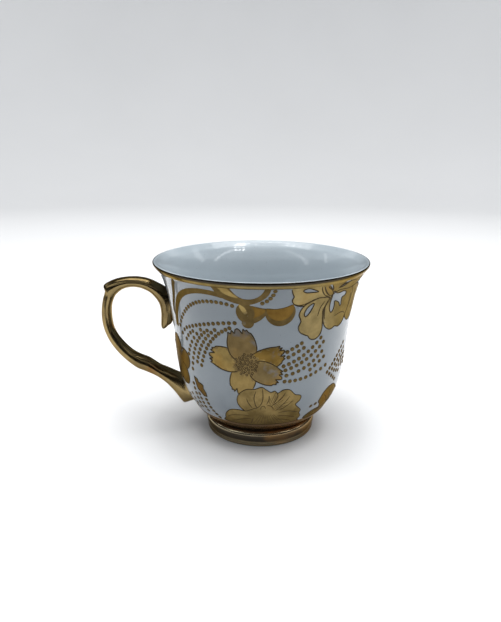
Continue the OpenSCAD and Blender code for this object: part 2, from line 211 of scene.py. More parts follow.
# ---- meshes
def add_mesh(name, verts, faces, sharp=None):
    mesh = bpy.data.meshes.new(name)
    mesh.from_pydata([tuple(v) for v in verts], [], [tuple(int(i) for i in f) for f in faces])
    mesh.validate()
    mesh.shade_smooth()
    if sharp:
        mesh.set_sharp_from_angle(angle=math.radians(sharp))
    return put(name, mesh)


def finish_piece(obj, finish, *nodes):
    obj.data.materials.append(finish.material)
    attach(obj, ROOT)
    if nodes:
        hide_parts(*nodes)


def lathe(name, profile, turns=192, sharp=35, closed=True):
    """Turns a profile of [r, z] about the cup's axis. A point with r = 0 is one vertex."""
    verts, rings = [], []
    angle = np.linspace(0, 2 * math.pi, turns, endpoint=False)
    for r, z in profile:
        if r < 1e-6:
            rings.append([len(verts)] * turns)
            verts.append((0.0, 0.0, z * MM))
            continue
        rings.append(list(range(len(verts), len(verts) + turns)))
        for a in angle:
            verts.append((r * math.cos(a) * MM, r * math.sin(a) * MM, z * MM))
    faces = []
    for i in range(len(rings) if closed else len(rings) - 1):
        low, high = rings[i], rings[(i + 1) % len(rings)]
        if low[0] == low[1] and high[0] == high[1]:
            continue
        for k in range(turns):
            m = (k + 1) % turns
            quad = [low[k], low[m], high[m], high[k]]
            faces.append([v for j, v in enumerate(quad) if v not in quad[:j]])
    return add_mesh(name, verts, faces, sharp)


def sleeve(first, rings, sides, closed=False):
    """Faces of a tube. Its rings, of sides points each, follow one another from point first."""
    faces = []
    for i in range(rings if closed else rings - 1):
        low, high = first + i * sides, first + (i + 1) % rings * sides
        for k in range(sides):
            m = (k + 1) % sides
            faces.append([low + k, low + m, high + m, high + k])
    if not closed:
        faces.append([first + k for k in range(sides)][::-1])
        faces.append([first + (rings - 1) * sides + k for k in range(sides)])
    return faces


COAT = 0.09  # height of a gold coat, and how far its back sinks into the clay
SUNK = 0.05


def coat(path, out, edge):
    """Closed section of a gold coat on a turned path, edge high where it begins and ends."""
    lift = np.full((len(path), 1), COAT)
    lift[0] = lift[-1] = edge
    return list(path + lift * out) + list((path - SUNK * out)[::-1])


def inside(points, loop):
    """Which of the points lie inside the closed loop."""
    x, y = points[:, 0][:, None], points[:, 1][:, None]
    x1, y1 = loop[:, 0][None], loop[:, 1][None]
    x2, y2 = np.roll(loop[:, 0], -1)[None], np.roll(loop[:, 1], -1)[None]
    cross = (y1 > y) != (y2 > y)
    rise = np.where(y2 == y1, 1e-12, y2 - y1)
    hit = cross & (x < (x2 - x1) * (y - y1) / rise + x1)
    return hit.sum(axis=1) % 2 == 1


def distance_to(points, a, b):
    """Shortest distance from each point to any of the segments a-b."""
    out = np.full(len(points), 1e9)
    d = b - a
    length = np.maximum((d * d).sum(axis=1), 1e-12)
    for start in range(0, len(a), 64):
        seg = slice(start, start + 64)
        rel = points[:, None] - a[None, seg]
        u = np.clip((rel * d[None, seg]).sum(axis=2) / length[None, seg], 0, 1)
        gap = np.linalg.norm(rel - u[..., None] * d[None, seg], axis=2)
        out = np.minimum(out, gap.min(axis=1))
    return out


EDGE_H = 0.03  # height of a gold film at its edge, and how much more it is inside
CROWN_H = 0.06
CROWN_IN = 0.9  # how far in from its edge it has its full height
GRID = 0.9  # spacing of the points inside a film, and of those round its edge
EDGE_STEP = 0.5
PRINT_TOP = WALL_TOP - LIP_BAND + 0.2  # the print goes just under the lip's gold


def below_lip(outline):
    """The outline with everything above the lip's gold band cut off level."""
    return np.column_stack([outline[:, 0], np.minimum(outline[:, 1], PRINT_TOP)])


def covered(points, outlines, openings):
    """Which of the points lie in an outline and in no opening."""
    keep = np.zeros(len(points), bool)
    for loop in outlines:
        keep |= inside(points, loop)
    for loop in openings:
        keep &= ~inside(points, loop)
    return keep


def fill(outlines, openings):
    """Points and triangles that fill the outlines, less the openings."""
    loops = outlines + openings
    edge = np.vstack(loops)
    ahead = np.vstack([np.roll(loop, -1, axis=0) for loop in loops])
    joins = []
    for loop in loops:
        first, n = len(joins), len(loop)
        joins += [(first + k, first + (k + 1) % n) for k in range(n)]
    low, high = edge.min(axis=0), edge.max(axis=0)
    x, y = np.meshgrid(np.arange(low[0], high[0], GRID), np.arange(low[1], high[1], GRID * 0.87))
    x = x + (np.arange(len(x)) % 2)[:, None] * GRID / 2
    inner = np.column_stack([x.ravel(), y.ravel()])
    inner = inner[covered(inner, outlines, openings)]
    inner = inner[distance_to(inner, edge, ahead) > GRID * 0.4]
    points = [Vector(p) for p in np.vstack([edge, inner])]
    flat, _, tris, *_ = delaunay_2d_cdt(points, joins, [], 0, 1e-5)
    flat = np.array([tuple(v) for v in flat])
    tris = np.array([f for f in tris if len(f) == 3])
    tris = tris[covered(flat[tris].mean(axis=1), outlines, openings)]
    u, v = flat[tris[:, 1]] - flat[tris[:, 0]], flat[tris[:, 2]] - flat[tris[:, 0]]
    area = u[:, 0] * v[:, 1] - u[:, 1] * v[:, 0]
    tris[area < 0] = tris[area < 0][:, ::-1]
    used, tris = np.unique(tris[np.abs(area) > 1e-9], return_inverse=True)
    return flat[used], tris.reshape(-1, 3)


def film(name, outlines, openings, shift, crown=CROWN_H, edge=EDGE_H):
    """A thin closed skin on the wall. Each outline's part of it has a tone of its own."""
    outlines = [split(below_lip(o), EDGE_STEP) for o in outlines]
    openings = [split(o, EDGE_STEP) for o in openings if o[:, 1].min() < PRINT_TOP]
    flat, tris = fill(outlines, openings)
    joins = dict.fromkeys((f[k], f[(k + 1) % 3]) for f in tris for k in range(3))
    rim = np.array([join for join in joins if join[::-1] not in joins])
    gap = np.clip(distance_to(flat, flat[rim[:, 0]], flat[rim[:, 1]]) / CROWN_IN, 0, 1)
    lift = edge + crown * (gap * gap * (3 - 2 * gap))
    verts = np.vstack([on_wall(flat[:, 0] + shift, flat[:, 1], h) for h in (lift, -SUNK)])
    n = len(flat)
    faces = [*tris, *(n + tris[:, ::-1]), *([b, a, n + a, n + b] for a, b in rim)]
    obj = add_mesh(name, verts, faces, 50)
    tone = np.zeros(n)
    for k, loop in enumerate(outlines):
        tone[inside(flat, loop)] = (k * 0.618) % 1
    shade = obj.data.attributes.new("tone", "FLOAT", "POINT")
    shade.data.foreach_set("value", np.tile(tone, 2).astype(np.float32))
    return obj


# The section of a raised line, as shares of its width and height
LINE_SECTION = [(-0.5, -0.08), (-0.5, 0.6), (-0.25, 1.0), (0.25, 1.0), (0.5, 0.6), (0.5, -0.08)]


def strips(name, paths, width, lift, shift):
    """Narrow raised lines along the paths, each (points, closed). Open ones taper to their ends."""
    verts, faces = [], []
    for path, closed in paths:
        p = split(path, 0.35) if closed else even(path, 0.3)
        n = len(p)
        if n < 3:
            continue
        ahead = np.roll(p, -1, axis=0) - np.roll(p, 1, axis=0)
        if not closed:
            ahead[0], ahead[-1] = p[1] - p[0], p[-1] - p[-2]
        side = np.column_stack([ahead[:, 1], -ahead[:, 0]])
        side /= np.maximum(np.linalg.norm(side, axis=1), 1e-9)[:, None]
        w = np.full(n, width)
        if not closed:
            w *= np.minimum(1, 0.45 + np.minimum(np.arange(n), np.arange(n)[::-1]) * 0.2)
        base = len(verts)
        for i in range(n):
            q = p[i] + np.array([x * w[i] for x, _ in LINE_SECTION])[:, None] * side[i]
            verts += list(on_wall(q[:, 0] + shift, q[:, 1], [h * lift for _, h in LINE_SECTION]))
        faces += sleeve(base, n, len(LINE_SECTION), closed)
    return add_mesh(name, verts, faces, 60)


DOT_H = 0.1
DOT_RINGS = [(1.0, -0.5), (1.0, 0.55), (0.88, 0.9), (0.5, 1.0)]  # shares of a dot's size and height


def blobs(name, places, shift, a, b=None, tilt=0.0, sides=14):
    """Low round dots, or ovals of half axes a and b turned by tilt, at the places [s, t]."""
    b = a if b is None else b
    th = np.linspace(0, 2 * math.pi, sides, endpoint=False)
    verts, faces = [], []
    for (s, t), lean in zip(places, np.broadcast_to(np.radians(tilt), len(places))):
        first = len(verts)
        for size, h in DOT_RINGS:
            x, y = a * size * np.cos(th), b * size * np.sin(th)
            u = x * math.cos(lean) - y * math.sin(lean)
            v = x * math.sin(lean) + y * math.cos(lean)
            verts += list(on_wall(s + shift + u * slide(t), t + v, h * DOT_H))
        verts += list(on_wall([s + shift], [t], DOT_H))
        faces += sleeve(first, len(DOT_RINGS), sides)
        crest = faces.pop()
        faces += [[crest[k], crest[(k + 1) % sides], crest[-1] + 1] for k in range(sides)]
    return add_mesh(name, verts, faces)


def seen_runs(outlines, covers=()):
    """The parts of each closed outline that no later outline or cover hides, as (points, closed)."""
    runs = []
    loops = [split(o, 0.3) for o in outlines]
    for i, loop in enumerate(loops):
        shown = loop[:, 1] < PRINT_TOP - 0.3
        for over in loops[i + 1:] + list(covers):
            shown &= ~inside(loop, over)
        if shown.all():
            runs.append((loop, True))
            continue
        start = int(np.argmin(shown))
        loop, shown = np.roll(loop, -start, axis=0), np.roll(shown, -start)
        turns = np.flatnonzero(np.diff(shown)) + 1
        for part, seen in zip(np.split(loop, turns), np.split(shown, turns)):
            if seen[0] and len(part) > 2:
                runs.append((part, False))
    return runs


# ---- materials
class Finish:
    """A material, and the record's slot for it. The methods add nodes and return their outputs."""

    def __init__(self, name, slot=None):
        self.slot = slot
        self.material = bpy.data.materials.new(name)
        self.material.use_nodes = True
        self.nodes = self.material.node_tree.nodes
        self.links = self.material.node_tree.links
        self.shader = self.nodes["Principled BSDF"].inputs

    def feed(self, socket, value):
        """Links a socket to another one, or sets it to a constant."""
        if isinstance(value, bpy.types.NodeSocket):
            self.links.new(value, socket)
        elif isinstance(value, tuple):
            socket.default_value = (*value, 1)
        else:
            socket.default_value = value

    def set(self, name, value):
        self.feed(self.shader[name], value)

    def node(self, kind, **values):
        node = self.nodes.new("ShaderNode" + kind)
        for name, value in values.items():
            self.feed(node.inputs[name.replace("_", " ")], value)
        return node

    def place(self):
        return self.node("TexCoord").outputs["Object"]

    def height(self):
        return self.node("SeparateXYZ", Vector=self.place()).outputs["Z"]

    def attribute(self, name):
        node = self.node("Attribute")
        node.attribute_name = name
        return node.outputs["Fac"]

    def noise(self, scale, detail, rough=0.55, output="Fac"):
        return self.node("TexNoise", Scale=scale, Detail=detail, Roughness=rough,
                         Vector=self.place()).outputs[output]

    def ramp(self, source, stops, steps=False):
        node = self.node("ValToRGB", Fac=source)
        colours = node.color_ramp
        for element, (at, colour) in zip(colours.elements, (stops[0], stops[-1])):
            element.position, element.color = at, (*colour, 1)
        for at, colour in stops[1:-1]:
            colours.elements.new(at).color = (*colour, 1)
        if steps:
            colours.interpolation = "CONSTANT"
        return node.outputs["Color"]

    def between(self, source, low, high, from_low=0.3, from_high=0.7):
        """low to high as the source goes from from_low to from_high."""
        return self.node("MapRange", Value=source, From_Min=from_low, From_Max=from_high,
                         To_Min=low, To_Max=high).outputs["Result"]

    def bump(self, source, distance, under=None):
        node = self.node("Bump", Height=source, Distance=distance, Strength=1)
        if under is not None:
            self.links.new(under, node.inputs["Normal"])
        return node.outputs["Normal"]

    def mix(self, amount, a, b, blend="MIX"):
        """Colour b over colour a by amount."""
        node = self.node("Mix")
        node.data_type = "RGBA"
        node.blend_type = blend
        for name, value in (("Factor", amount), ("A", a), ("B", b)):
            self.feed(node.inputs[name], value)
        return node.outputs["Result"]

    def turn_to(self, colour, amount):
        """Turns the colour so far into another one by amount."""
        so_far = self.shader["Base Color"].links[0].from_socket
        self.set("Base Color", self.mix(amount, so_far, colour))


def porcelain():
    """White clay under a thick clear glaze, with faint clouds, specks and a soft ripple. Its white is
    painted down to a blue grey as painted shade.
    """
    mat = Finish("porcelain_glaze", "porcelain")
    # The clouds' blue grey, well below white clay, is painted shade.
    clouds = mat.ramp(mat.noise(38, 3), [(0.3, (0.298, 0.342, 0.372)), (0.7, (0.322, 0.366, 0.396))])
    specks = mat.ramp(mat.noise(2100, 1), [(0.74, (1, 1, 1)), (0.79, (0.62, 0.56, 0.5))])
    mat.set("Base Color", mat.mix(1, clouds, specks, "MULTIPLY"))
    mat.set("Roughness", 0.28)
    mat.set("IOR", 1.5)
    mat.set("Coat Weight", 0.9)
    mat.set("Coat Roughness", 0.035)
    mat.set("Coat IOR", 1.52)
    ripple = mat.bump(mat.noise(55, 1), 0.00025)
    pores = mat.bump(mat.noise(900, 2), 0.000006, ripple)
    mat.set("Coat Normal", pores)
    mat.set("Normal", pores)
    return mat


def bare_clay():
    """Unglazed porcelain on the standing edge: chalky, with grain and grey rub marks."""
    mat = Finish("bare_porcelain", "bare_porcelain")
    mat.set("Base Color", mat.ramp(mat.noise(160, 4),
                                   [(0.35, (0.42, 0.41, 0.38)), (0.6, (0.62, 0.62, 0.60))]))
    mat.set("Roughness", 0.75)
    mat.set("Normal", mat.bump(mat.noise(1600, 5), 0.00004))
    return mat


EDGE_TINT = (0.68, 0.56, 0.4)  # gold keeps its colour where it is seen edge on
GRAIN = 0.000008  # depth of the fine grain in fired gold


def metal(name, slot, rough, patch, wave=0.0, wave_scale=60, metallic=1.0):
    """Fired gold but for its colour: a metal whose gloss varies from patch to patch."""
    mat = Finish(name, slot)
    mat.set("Metallic", metallic)
    mat.set("Specular Tint", EDGE_TINT)
    mat.set("Roughness", mat.between(mat.noise(patch * 2.3, 4, 0.6), *rough))
    broad = mat.bump(mat.noise(wave_scale, 2), wave) if wave else None
    mat.set("Normal", mat.bump(mat.noise(1400, 3), GRAIN, broad))
    return mat


def gold(name, slot, dark, light, rough, patch, stain=None, stain_from=0.56, stain_scale=70, **surface):
    """Fired gold whose colour varies from patch to patch, with a stain in places."""
    mat = metal(name, slot, rough, patch, **surface)
    mat.set("Base Color", mat.ramp(mat.noise(patch, 6, 0.62), [(0.34, dark), (0.66, light)]))
    if stain:
        spread = mat.noise(stain_scale, 4, 0.6)
        mat.turn_to(stain, mat.between(spread, 0, 0.85, stain_from, stain_from + 0.12))
    return mat


def leaf_gold(name, dark, light, stain, stain_from, rough=(0.28, 0.5)):
    """The printed gold of flowers and leaves, slightly wavy."""
    return gold(name, "bright_gold", dark, light, rough, 150, stain, stain_from, wave=0.00012,
                wave_scale=160)


def toned_gold(name, tones):
    """Printed gold whose tone differs from petal to petal, with grey and amber clouds."""
    mat = metal(name, "bright_gold", (0.28, 0.5), 190, wave=0.00012, wave_scale=160)
    petals = mat.ramp(mat.attribute("tone"), tones, steps=True)
    uneven = mat.node("VectorMath")
    uneven.operation = "SCALE"
    mat.feed(uneven.inputs["Vector"], petals)
    mat.feed(uneven.inputs["Scale"], mat.between(mat.noise(190, 6, 0.62), 0.8, 1.2, 0.34, 0.66))
    mat.set("Base Color", uneven.outputs["Vector"])
    mat.turn_to((0.15, 0.15, 0.15), mat.between(mat.noise(75, 4, 0.6), 0, 0.75, 0.6, 0.66))
    warm = mat.noise(95, 3, 0.5, "Color")
    mat.turn_to((0.28, 0.165, 0.04), mat.between(warm, 0, 0.6, 0.52, 0.64))
    return mat


def handle_lustre():
    """Poured lustre: bronze gold, browner in patches, with painted shade, nearly black, where the handle
    meets the wall at the upper joint.
    """
    mat = gold("handle_lustre", "gilded_porcelain", (0.15, 0.108, 0.05), (0.35, 0.258, 0.115),
               (0.15, 0.26), 60, (0.2, 0.1, 0.035), 0.57, 85, wave=0.0003, wave_scale=90)
    # Painted shade: nearly black where the handle meets the wall at the upper joint.
    mat.turn_to((0.035, 0.022, 0.014), mat.attribute("painted_joint_shade"))
    return mat


def lip_gold():
    """Bright gold, painted nearly black over the crest of the lip as a painted dark reflection."""
    mat = gold("lip_gold", "band_gold", (0.18, 0.132, 0.052), (0.3, 0.23, 0.1), (0.1, 0.2), 160,
               (0.15, 0.12, 0.07), 0.64, wave=0.0001, wave_scale=140)
    # Painted reflection: the gold turns nearly black over the crest, above about 70.8 mm.
    mat.turn_to((0.05, 0.042, 0.032), mat.between(mat.height(), 0, 1, 0.0708, 0.0713))
    return mat


def fan_gold():
    """Printed gold, painted browner and darker towards the foot as painted shade."""
    mat = leaf_gold("fan_gold", (0.135, 0.096, 0.038), (0.28, 0.202, 0.082), (0.19, 0.115, 0.04), 0.6)
    # Painted shade: the gold darkens towards the foot, below about 16.5 mm.
    mat.turn_to((0.085, 0.058, 0.035), mat.between(mat.height(), 0, 1, 0.0165, 0.009))
    return mat


def foot_lustre():
    """Lustre on the foot and under the bowl, in rings of painted reflection: a pale painted highlight on
    the shoulder, dark painted reflection below, and copper patches as painted glints.
    """
    mat = Finish("foot_lustre", "band_gold")
    wavy = mat.node("Math")
    wavy.operation = "MULTIPLY_ADD"
    for socket, value in zip(wavy.inputs, (mat.noise(90, 3), RING_WOBBLE, mat.height())):
        mat.feed(socket, value)
    level = mat.between(wavy.outputs["Value"], 0, 1, *RING_SPAN)
    mat.set("Base Color", mat.ramp(level, FOOT_REFLECTION_BANDS))
    # Copper patches: painted glints.
    mat.turn_to((0.33, 0.18, 0.065), mat.between(mat.noise(60, 2), 0, 0.6, 0.5, 0.64))
    mat.set("Metallic", 0.85)
    mat.set("Specular Tint", EDGE_TINT)
    mat.set("Roughness", mat.between(mat.noise(160, 3), 0.12, 0.22))
    mat.set("Normal", mat.bump(mat.noise(45, 1), 0.00004))
    return mat


RING_WOBBLE = 0.0003  # how far the rings wander up and down
RING_SPAN = (0.0004, 0.0224)  # the heights between which they lie
# Their colours, from the lowest up. They are painted reflections: pale where the gold would reflect light,
# dark where it would reflect the dark room.
FOOT_REFLECTION_BANDS = [(0.0, (0.2, 0.16, 0.1)), (0.045, (0.22, 0.17, 0.1)), (0.058, (0.07, 0.057, 0.04)),
              (0.08, (0.36, 0.29, 0.17)), (0.095, (0.34, 0.27, 0.16)), (0.112, (0.062, 0.05, 0.036)),
              (0.215, (0.062, 0.05, 0.036)), (0.24, (0.38, 0.32, 0.21)), (0.266, (0.42, 0.36, 0.24)),
              (0.28, (0.17, 0.115, 0.068)), (0.37, (0.2, 0.13, 0.078)), (0.55, (0.22, 0.145, 0.088))]

PORCELAIN = porcelain()
BARE = bare_clay()
BRIGHT = leaf_gold("bright_gold", (0.17, 0.118, 0.042), (0.31, 0.225, 0.084), (0.13, 0.108, 0.07), 0.6)
# Lower, middle, top, lower right, left and upper right parts of the big flower, in that order
AMBER_PRINT = toned_gold("amber_print", [
    (0.0, (0.215, 0.152, 0.057)), (0.05, (0.16, 0.112, 0.048)), (0.15, (0.163, 0.114, 0.049)),
    (0.4, (0.158, 0.114, 0.051)), (0.55, (0.238, 0.17, 0.062)), (0.75, (0.178, 0.111, 0.029))])
PALE_PRINT = toned_gold("pale_print", [
    (0.0, (0.275, 0.211, 0.093)), (0.2, (0.215, 0.163, 0.072)), (0.5, (0.255, 0.195, 0.085)),
    (0.8, (0.238, 0.181, 0.08))])
# A darker copy of the printed gold: painted dark reflection of the handle beside the leaf.
SIDE_GOLD_SHADED = leaf_gold("side_gold", (0.095, 0.062, 0.026), (0.165, 0.108, 0.044), (0.15, 0.08, 0.025),
                      0.55, (0.3, 0.5))
FAN_GOLD = fan_gold()
DEEP = leaf_gold("deep_gold", (0.13, 0.09, 0.036), (0.21, 0.15, 0.058), (0.18, 0.095, 0.03), 0.56)
MATTE = gold("matte_gold", "matte_gold", (0.088, 0.06, 0.023), (0.135, 0.094, 0.037), (0.36, 0.5), 320)
AMBER = gold("amber_gold", "bright_gold", (0.13, 0.073, 0.0175), (0.19, 0.112, 0.027), (0.32, 0.45), 300)
LINE = gold("key_line", "matte_gold", (0.038, 0.026, 0.013), (0.07, 0.048, 0.022), (0.4, 0.55), 500,
            metallic=0.6)
LUSTRE = handle_lustre()
FOOT_LUSTRE = foot_lustre()
BANDS = lip_gold()


# ---- clay
def make_body():
    under = [(r, 6.9) for r in (0, 6, 12, 17, 20)]
    finish_piece(lathe("cup_shell", [*under, *WALL, *CAVITY]), PORCELAIN, "cup_body")


GILDED_FROM = 0.35  # the foot is gold above this height
THIN = 0.01  # height of a band's coat at its edges
BASE_BAND = (0.4, 9.6)  # where the band under the bowl begins and ends, along the wall
TAPER = 0.35  # how fast that band thins at its edges
FOOT = smooth([(21.6, 0), (22.3, 0.5), (22.42, 1.2), (22.3, 1.8), (22.5, 2.4), (22.78, 3.5),
               (22.88, 4.8), (22.75, 5.6), (22.3, 6.25), (21.5, 6.6), (20.3, 6.7)], 5)


def make_foot():
    top = 6.85
    inner = smooth([(17.2, top), (17.3, 5), (17.9, 2.2), (18.5, 0.5), (19.0, 0.05), (19.8, 0)], 5)
    inner[:, 1] = np.maximum(inner[:, 1], 0)
    finish_piece(lathe("foot_clay", [*FOOT, (19.9, top), *inner]), BARE, "foot_ring", "foot_joint")
    gilded = FOOT[FOOT[:, 1] > GILDED_FROM]
    finish_piece(lathe("foot_gold", coat(gilded, outward(gilded), 0)), FOOT_LUSTRE, "foot_gilding")


def make_bands():
    crest = WALL[(RUN > WALL_TOP - LIP_BAND) & (RUN < WALL_TOP - LIP_BARE)]
    finish_piece(lathe("lip_gold", coat(crest, outward(crest), THIN)), BANDS, "lip_gilding")
    low, high = BASE_BAND
    t = RUN[(RUN > low + TAPER) & (RUN < high - TAPER)]
    t = np.concatenate([[low, low + TAPER], t, [high - TAPER, high]])
    # The band under the bowl takes the foot's finish, with its dark painted reflection.
    finish_piece(lathe("base_gold", coat(*on_section(t), THIN)), FOOT_LUSTRE, "base_gilding")


# The handle's two rails, and its breadth, at each station
OUTER_RAIL = [
    (-40.2, 42.3), (-39.4, 42.7), (-38.3, 43.8), (-36.8, 45.2), (-35.8, 50), (-36.2, 56.5),
    (-38.6, 59.8), (-42, 61.9), (-45.3, 63.4), (-48.6, 64.2), (-52.2, 64.4), (-56.4, 64), (-60.4, 62.9),
    (-63.9, 60.8), (-63.6, 58.4), (-64.7, 54.8), (-65.5, 50.4), (-65.6, 46.2), (-65, 42.2),
    (-63.7, 38.3), (-61.6, 34.4), (-58.8, 30.8), (-55.6, 27.6), (-52.1, 24.9), (-48.3, 23.3),
    (-44.5, 21.5), (-41, 19.1), (-38.4, 16.5), (-35.9, 13.3), (-33.9, 10.3), (-32.5, 9.1), (-29.5, 10.1),
    (-26, 11.6)]
INNER_RAIL = [
    (-40.6, 42.3), (-41.1, 42.8), (-41.3, 44.2), (-41.2, 46.6), (-41.1, 49.5), (-41.6, 52.8),
    (-42.9, 55.3), (-45.1, 57.8), (-48.3, 59.5), (-51, 60.1), (-53.6, 60), (-56.2, 59.2), (-58.2, 57.8),
    (-59.6, 56.3), (-60.5, 54.6), (-61.2, 52.4), (-61.5, 49.5), (-61.4, 46), (-60.9, 42.8), (-59.7, 40),
    (-58.1, 37.6), (-55.9, 35), (-53.1, 32.5), (-50.1, 30.9), (-47.1, 29.7), (-44.9, 28.2),
    (-42.6, 26.6), (-39.4, 25.2), (-36.5, 23.9), (-33.5, 22.5), (-31, 20.3), (-28.6, 17.2), (-26, 13.5)]
BREADTH = [
    0.2, 0.45, 0.68, 0.84, 0.95, 1, 1, 1, 1, 1, 1, 1, 1, 0.92, 0.86, 0.84, 0.83, 0.83, 0.83, 0.83, 0.83,
    0.84, 0.86, 0.88, 0.9, 0.94, 0.98, 1.02, 1.06, 1.08, 1.06, 1, 0.9]
GRIP_W = 6.5
RIDGE = 1.45  # under 2 gives the handle's sides a ridge
ROUND = 2.3
HANDLE_SIDES = 40
FILLET = 1.7  # how far from the wall the handle starts to flare
FLARE = 0.9  # how much wider it gets
JOINT_SHADE_OFF = 0.6  # the painted shade is darkest this near the wall
JOINT_SHADE_REACH = 2.6  # how far out it fades
JOINT_SHADE_DARK = 0.85  # how dark it is at most
JOINT_SHADE_Z = 53.5  # the painted shade lies at the upper joint only, above this height


def handle_points():
    outer, inner = smooth(OUTER_RAIL, 8), smooth(INNER_RAIL, 8)
    breadth = smooth([(b, 0) for b in BREADTH], 8)[:, 0] * GRIP_W / 2
    th = np.linspace(0, 2 * math.pi, HANDLE_SIDES, endpoint=False)
    c, s = np.cos(th), np.sin(th)
    along = np.sign(c) * np.abs(c) ** (2 / RIDGE)
    across = np.sign(s) * np.abs(s) ** (2 / ROUND)
    rings = []
    for o, i, b in zip(outer, inner, breadth):
        mid, half = (o + i) / 2, (o - i) / 2
        rings.append(np.column_stack([mid[0] + half[0] * along, b * across,
                                      mid[1] + half[1] * along]))
    return np.array(rings)


def make_handle():
    rings = handle_points()
    obj = add_mesh("handle_gold", rings.reshape(-1, 3) * MM, sleeve(0, len(rings), HANDLE_SIDES))
    flare_at_wall(obj)
    finish_piece(obj, LUSTRE, "handle")


def flare_at_wall(obj):
    """Spreads the handle's ends along the wall like wiped slip, and marks the painted shade by the upper
    joint.
    """
    mesh = obj.data
    co = np.array([v.co for v in mesh.vertices]) / MM
    nor = np.array([v.normal for v in mesh.vertices])
    r = np.hypot(co[:, 0], co[:, 1])
    wall_r = np.interp(co[:, 2], WALL[:, 1], WALL[:, 0])
    slope, rise = at_run(co[:, 2], WALL[:, 1], FACING).T
    gap = (r - wall_r) * slope
    out = np.column_stack([co[:, 0] / r * slope, co[:, 1] / r * slope, rise])
    flat = nor - (nor * out).sum(axis=1)[:, None] * out
    size = np.maximum(np.linalg.norm(flat, axis=1), 1e-6)[:, None]
    near = np.clip(1 - np.maximum(gap, 0) / FILLET, 0, 1)
    co += flat / size * np.minimum(size, 1) * (FLARE * near ** 2)[:, None]
    mesh.vertices.foreach_set("co", (co * MM).astype(np.float32).ravel())
    # Painted shade by the upper joint, darkest next to the wall and fading outwards.
    painted_joint_shade = mesh.attributes.new("painted_joint_shade", "FLOAT", "POINT")
    amount = JOINT_SHADE_DARK * np.exp(-(np.maximum(gap - JOINT_SHADE_OFF, 0) / JOINT_SHADE_REACH) ** 2)
    amount *= np.clip((co[:, 2] - JOINT_SHADE_Z) / 5, 0, 1)
    painted_joint_shade.data.foreach_set("value", amount.astype(np.float32))
    mesh.update()


def make_slip():
    """The pads of slip under the handle's two ends, gilded with the handle."""
    for name, node, t, up, wide in (("upper_slip", "upper_handle_joint", 50.6, 7.6, 4.2),
                                    ("lower_slip", "lower_handle_joint", 13.8, 7.2, 4.4)):
        pad = film(name, [oval((HANDLE_S, t), wide, up)], [], 0, crown=0.3, edge=0.02)
        finish_piece(pad, LUSTRE, node)


make_body()
make_foot()
make_bands()
make_handle()
make_slip()


# ---- the print
LINE_W = 0.4  # the key lines' breadths and height
FINE_LINE_W = 0.34
LINE_H = 0.15
DOT_R = 0.8


class Side:
    """The print on one side of the cup, shift round the wall. Names of its pieces begin with prefix."""

    def __init__(self, prefix, shift):
        self.prefix, self.shift = prefix, shift

    def film(self, name, outlines, covers, finish, *nodes, **heights):
        obj = film(self.prefix + name, outlines, covers, self.shift, **heights)
        finish_piece(obj, finish, *(self.prefix + node for node in nodes))

    def light(self, name, outlines, covers, finish):
        """A brighter part that lies over a ribbon."""
        self.film(name, outlines, covers, finish, crown=0.04, edge=0.09)

    def lines(self, name, paths, width, lift=LINE_H):
        finish_piece(strips(self.prefix + name, paths, width, lift, self.shift), LINE)

    def dots(self, name, places, node, a=DOT_R, **shape):
        obj = blobs(self.prefix + name, places, self.shift, a, **shape)
        finish_piece(obj, MATTE, self.prefix + node)


# ---- flowers and leaves
PETAL_EDGE = smooth([(0.06, 0.4), (0.2, 0.74), (0.36, 0.96), (0.52, 1), (0.68, 0.95), (0.83, 0.8)], 4)
PETAL_TIP = np.array([(0.93, 0.74), (0.87, 0.58), (0.97, 0.48), (0.87, 0.32), (0.98, 0.22), (1, 0.06),
                      (0.95, -0.06), (0.84, -0.2), (0.97, -0.32), (0.9, -0.44), (0.94, -0.56),
                      (0.86, -0.64)])


def petal(centre, angle, length, left, right):
    """A ragged petal that leaves the centre at angle, with its two half widths."""
    tip = PETAL_TIP * np.column_stack([np.full(len(PETAL_TIP), length),
                                       np.where(PETAL_TIP[:, 1] > 0, left, right)])
    local = np.vstack([PETAL_EDGE * (length, left), tip, PETAL_EDGE[::-1] * (length, -right)])
    c, s = ray(angle)
    return np.array(centre) + local @ np.array([[c, s], [-s, c]])


ANEMONE_C = (-5.1, 38.3)
ANEMONE_EYE = 4.6  # radius of its middle, which holds the seeds
SEEDS = 46
GOLDEN_ANGLE = math.radians(137.508)
ANEMONE_PETALS = [(-107, 12.8, 5.2, 4.6), (169, 15.3, 4.7, 4.6), (101, 14.4, 5.6, 5),
                  (20, 14.9, 3.9, 4.7), (-25, 14.4, 4.3, 4.5)]
FAN_EDGE = [
    (-15.5, 9.8), (-16.6, 12.4), (-15.6, 15.4), (-13, 17.8), (-9.8, 18.4), (-6.8, 18.2), (-8.7, 20.4),
    (-9.4, 23.2), (-8.4, 26), (-5.4, 28.2), (-2.3, 28.4), (0.4, 29.3), (2.2, 28.2), (4, 27.1),
    (5.6, 27.6), (6.9, 26.6), (9, 27.8), (11.6, 27.5), (14, 25.2), (16.7, 24.2), (16.6, 22.1),
    (15, 20.2), (18.1, 17), (17.9, 15.3), (19.3, 13), (18.6, 10.7), (16.6, 9.8)]
